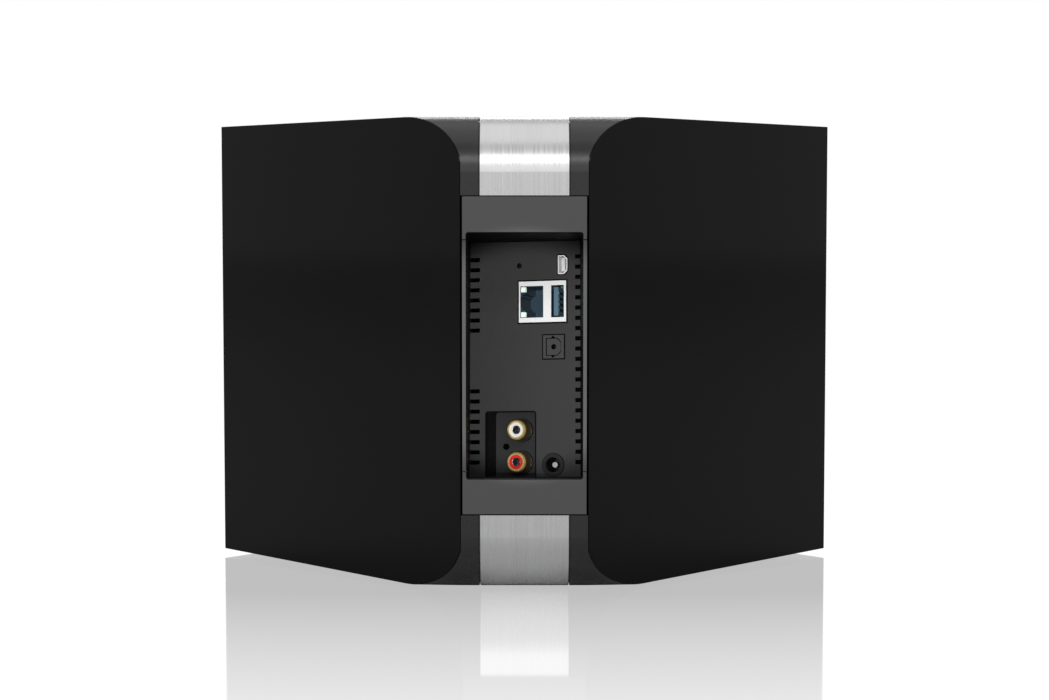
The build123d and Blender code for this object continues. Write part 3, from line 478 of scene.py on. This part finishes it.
# Painted shade: a near-black finish for rings that stand for the shaded gaps round the sockets.
gap_shade_finish = moulded("gap_shade", (0.003, 0.003, 0.003), 0.8, grain=5000, Specular_IOR_Level=0.1)
HAIR = 0.00002                 # clearance between a ring and the socket inside it
RING_LOW, RING_HIGH = 0.00001, 0.00006
rings = (                      # name, node inside, width, then how far its left and right corners are cut
    ("shield_gasket", "network_usb_shield", 0.0006, 0.0, 0.0),
    ("optical_gasket", "optical_socket", 0.0005, 0.0, 0.0),
    ("service_port_gasket", "service_port_shell", 0.0004, 0.0001, 0.0013),
)
for name, node, width, cut_left, cut_right in rings:
    left, right = span_along(node, across)
    base, top = span_along(node, upward)
    inner = outline(left - HAIR, right + HAIR, base - HAIR, top + HAIR, cut_left, cut_right)
    outer = outline(left - width, right + width, base - width, top + width, cut_left, cut_right)
    ring = ring_piece(name, inner, outer, plate_face + RING_LOW, plate_face + RING_HIGH, gap_shade_finish, "housing")
    print(name, np.round(np.array([right - left, top - base]) * 1000, 2), "mm inside")

# %% Painted shade lip round the mouth of the pocket
LIP_W = 0.0006
LIP_BACK, LIP_FRONT = 0.001, 0.0001
LIP_EASE = 0.00001             # keeps the lip just off the pocket's walls
pocket = np.array([span_along("jack_pocket", across), span_along("jack_pocket", upward)])


def shrunk(amount):
    """Left, right, base and top of the pocket's mouth, moved in by an amount on every side."""
    return (pocket + np.array([1, -1]) * (POCKET_WALL + amount)).ravel()


outer = outline(*shrunk(LIP_EASE), 0.0008, 0.0008)
inner = outline(*shrunk(LIP_W), 0.0004, 0.0004)
# Painted shade: a black ring inside the pocket's mouth, for the shade on its walls.
lip = ring_piece("pocket_mouth_shade", inner, outer, plate_face - LIP_BACK, plate_face - LIP_FRONT, gap_shade_finish, "housing")
print("pocket mouth", np.round(np.ptp(pocket, axis=1) * 1000 - 2 * POCKET_WALL * 1000, 2), "mm")

# %% [markdown]
# ## Symbols on the touch strip
# The touch strip on top is a dark glass with printed symbols: louder, play and softer. A print could be a
# pattern in the glass's own shader, but a shape this simple is quicker to draw as a mesh, and it stays
# sharp. Each is a thin flat prism, a few hundredths of a millimetre high, made of straight strokes and one
# triangle. They carry no lettering.

# %% Printed symbols
print_ink = moulded("symbol_ink", (0.55, 0.56, 0.58), 0.5, grain=8000)
glass_low, glass_high = (np.array(corner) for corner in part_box("touch_strip"))
glass_middle = (glass_low + glass_high) / 2
PRINT_H = 0.00004
MM = 0.001


def flat_print(name, corners):
    """A thin prism over a convex outline given in millimetres from the middle of the strip."""
    plan = np.array(corners) * MM + glass_middle[:2]
    top = np.column_stack([plan, np.full(len(plan), glass_high[2] + PRINT_H)])
    foot = top - (0, 0, PRINT_H)
    points = np.concatenate([foot, top]).tolist()
    n = len(plan)
    sides = [(i, (i + 1) % n, n + (i + 1) % n, n + i) for i in range(n)]
    mesh = bpy.data.meshes.new(name)
    mesh.from_pydata(points, [], [tuple(range(n))[::-1], tuple(range(n, 2 * n))] + sides)
    mesh.materials.append(print_ink)
    piece = bpy.data.objects.new(name, mesh)
    bpy.context.scene.collection.objects.link(piece)
    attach(piece, "housing")
    return piece


def stroke(y, half_x, half_y):
    """Corners of a short bar centred on the strip at y."""
    return [(-half_x, y - half_y), (half_x, y - half_y), (half_x, y + half_y), (-half_x, y + half_y)]


flat_print("louder_bar_across", stroke(19, 2.6, 0.3))
flat_print("louder_bar_left", [(-0.3, 19.35), (0.3, 19.35), (0.3, 21.6), (-0.3, 21.6)])
flat_print("louder_bar_right", [(-0.3, 16.4), (0.3, 16.4), (0.3, 18.65), (-0.3, 18.65)])
flat_print("play_triangle", [(-2.1, -2.4), (2.5, 0.0), (-2.1, 2.4)])
flat_print("softer_bar", stroke(-19, 2.6, 0.3))
print("touch strip prints at height", round(float(glass_high[2]) * 1000, 2), "mm")

# %% [markdown]
# ## Studio
# A plain pale floor under a plain white background. The floor is polished, so the cabinet stands over its
# own soft reflection. The reflection is strong near the cabinet and fades with distance, so the floor runs
# out into white without a horizon. A low white wall stands all round and is seen only in reflections. The
# rest of the room is dim, so that the gloss covers stay black. A second, dull floor lights the cabinet's
# underside, since a shining floor would light it too much.

# %% Floor, wall and background
def glow(name, strength):
    """A plain shining surface."""
    finish = bpy.data.materials.new(name)
    finish.use_nodes = True
    tree = finish.node_tree
    tree.nodes.remove(tree.nodes["Principled BSDF"])
    shine = tree.nodes.new("ShaderNodeEmission")
    shine.inputs["Strength"].default_value = strength
    tree.links.new(shine.outputs[0], tree.nodes["Material Output"].inputs["Surface"])
    return finish


FLOOR_RADIUS = 0.5
WALL_RADIUS = 8.0
WALL_LOW = 0.78
WALL_HIGH = 2.2
WHITE = 1.06
ROOM = 0.5                     # brightness of the room in reflections
MIRROR_SHARE = 0.52            # share of mirror in the floor beside the cabinet
MIRROR_NEAR, MIRROR_FAR = 0.095, 0.42
MIRROR_ROUGHNESS = 0.05

floor_finish = glow("floor", WHITE)
tree = floor_finish.node_tree
mirror = tree.nodes.new("ShaderNodeBsdfGlossy")
mirror.inputs["Roughness"].default_value = MIRROR_ROUGHNESS
mirror.inputs["Color"].default_value = (1, 1, 1, 1)
place = tree.nodes.new("ShaderNodeTexCoord")
squeeze = tree.nodes.new("ShaderNodeMapping")
squeeze.inputs["Scale"].default_value = (0.3, 1, 1)
distance = tree.nodes.new("ShaderNodeVectorMath")
distance.operation = "LENGTH"
fade = tree.nodes.new("ShaderNodeMapRange")
fade.inputs["From Min"].default_value = MIRROR_NEAR
fade.inputs["From Max"].default_value = MIRROR_FAR
fade.inputs["To Min"].default_value = MIRROR_SHARE
fade.inputs["To Max"].default_value = 0.0
polish = tree.nodes.new("ShaderNodeMixShader")
tree.links.new(place.outputs["Object"], squeeze.inputs["Vector"])
tree.links.new(squeeze.outputs["Vector"], distance.inputs[0])
tree.links.new(distance.outputs["Value"], fade.inputs["Value"])
tree.links.new(fade.outputs["Result"], polish.inputs[0])
tree.links.new(tree.nodes["Emission"].outputs[0], polish.inputs[1])
tree.links.new(mirror.outputs[0], polish.inputs[2])
tree.links.new(polish.outputs[0], tree.nodes["Material Output"].inputs["Surface"])

# %% The three studio surfaces
ROUND = np.linspace(0, 2 * np.pi, 72, endpoint=False)
CENTRE = 0.001                 # a disc's inner radius, too small to see
DULL_DROP = 0.0005
turn, reach = np.meshgrid(ROUND, [FLOOR_RADIUS, CENTRE], indexing="ij")
disc = np.stack([reach * np.cos(turn), reach * np.sin(turn), 0 * turn], -1)
floor = grid_piece("floor", disc, floor_finish, wrap_u=True)
floor.visible_glossy = False
floor.visible_diffuse = False
floor.visible_shadow = False

dull = new_finish("dull_floor", (0.62, 0.62, 0.62), 1.0, Specular_IOR_Level=0.0)
turn, reach = np.meshgrid(ROUND, [WALL_RADIUS, 0.3, CENTRE], indexing="ij")
disc = np.stack([reach * np.cos(turn), reach * np.sin(turn), 0 * turn - DULL_DROP], -1)
dull_floor = grid_piece("dull_floor", disc, dull, wrap_u=True)
dull_floor.visible_camera = False

turn, height = np.meshgrid(ROUND, [WALL_LOW, WALL_HIGH], indexing="ij")
ring = np.stack([WALL_RADIUS * np.cos(turn), WALL_RADIUS * np.sin(turn), height], -1)
wall = grid_piece("wall", ring, glow("wall", WHITE), wrap_u=True)
wall.visible_camera = False
wall.visible_shadow = False
print("floor, dull floor and wall stand ready")

# %% Background
world = bpy.data.worlds.new("studio")
bpy.context.scene.world = world
world.use_nodes = True
sky = world.node_tree
backdrop = sky.nodes["Background"]
backdrop.inputs["Color"].default_value = (1, 1, 1, 1)
surround = sky.nodes.new("ShaderNodeBackground")
surround.inputs["Color"].default_value = (1, 1, 1, 1)
surround.inputs["Strength"].default_value = ROOM
choose = sky.nodes.new("ShaderNodeMixShader")
direct = sky.nodes.new("ShaderNodeLightPath")
sky.links.new(direct.outputs["Is Camera Ray"], choose.inputs["Fac"])
sky.links.new(surround.outputs[0], choose.inputs[1])
sky.links.new(backdrop.outputs[0], choose.inputs[2])
sky.links.new(choose.outputs[0], sky.nodes["World Output"].inputs["Surface"])

# %% [markdown]
# ## Lamps
# Two long strips, behind and in front, draw a bright line along each rounded corner of the cabinet. A weak
# panel overhead lights the tops. The jack bay is deep, so none of these reaches it: a lamp with a narrow
# cone shines into it and is stopped by its rim.

# %% Soft panels
STRIP_W, STRIP_H = 2.4, 0.32
STRIP_AWAY, STRIP_UP = 1.9, 1.13
STRIP_BRIGHTNESS = 3.4
TOP_W, TOP_UP, TOP_BRIGHTNESS = 2.6, 2.4, 0.33


def panel(name, width, height, place, target, brightness):
    """A rectangular lamp facing the target; its power is brightness times pi times its area."""
    lamp = bpy.data.lights.new(name, "AREA")
    lamp.shape = "RECTANGLE"
    lamp.size = width
    lamp.size_y = height
    lamp.energy = brightness * math.pi * width * height
    holder = bpy.data.objects.new(name, lamp)
    bpy.context.scene.collection.objects.link(holder)
    holder.location = place
    aim = Vector(target) - Vector(place)
    holder.rotation_euler = aim.to_track_quat("-Z", "Y").to_euler()
    holder.visible_camera = False
    return holder


middle = Vector((0, 0, float(size[2]) / 2))
for side, where in ((1, "rear"), (-1, "front")):
    place = (0, side * STRIP_AWAY, STRIP_UP)
    panel(f"{where}_strip", STRIP_W, STRIP_H, place, middle, STRIP_BRIGHTNESS)
panel("top_panel", TOP_W, TOP_W, (0, 0, TOP_UP), middle, TOP_BRIGHTNESS)

# %% A narrow lamp for the jack bay
SPOT_PLACE = (0.03, 2.28, 0.25)
SPOT_REACH = 0.045
SPOT_BRIGHTNESS = 2.0


def spot(name, place, target, reach, brightness):
    """A lamp whose cone's half angle is the arctangent of reach over distance, so it lights one circle."""
    lamp = bpy.data.lights.new(name, "SPOT")
    aim = Vector(target) - Vector(place)
    lamp.spot_size = 2 * math.atan(reach / aim.length)
    lamp.spot_blend = 0.15
    lamp.shadow_soft_size = 0.005
    lamp.energy = brightness * 4 * math.pi * aim.length ** 2
    holder = bpy.data.objects.new(name, lamp)
    bpy.context.scene.collection.objects.link(holder)
    holder.location = place
    holder.rotation_euler = aim.to_track_quat("-Z", "Y").to_euler()
    return holder


bay_base = float(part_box("lower_bezel")[0][2])
bay_top = float(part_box("upper_bezel")[1][2])
bay_middle = (0.0, float(high[1]), (bay_base + bay_top) / 2)
spot("bay_spot", SPOT_PLACE, bay_middle, SPOT_REACH, SPOT_BRIGHTNESS)

# %% [markdown]
# ## Camera
# A long lens stands about three quarters of a metre behind the cabinet, a little below the height of its
# top and looking slightly down, so the underside lines run down to the middle and the top cannot be seen.

# %% Camera
EYE_DISTANCE = 0.8418          # from the cabinet's middle plane
EYE_HEIGHT = 0.13675
LOOK_DOWN = math.radians(3.526)
FOCAL_LENGTH = 69.77           # millimetres, on a 36 mm wide sensor

view = bpy.data.cameras.new("camera")
view.lens = FOCAL_LENGTH
view.sensor_width = 36.0
camera = bpy.data.objects.new("camera", view)
camera.location = (0, EYE_DISTANCE, EYE_HEIGHT)
camera.rotation_euler = (math.pi / 2 - LOOK_DOWN, 0, math.pi)
bpy.context.scene.collection.objects.link(camera)
bpy.context.scene.camera = camera
bpy.context.scene.view_settings.view_transform = "Standard"
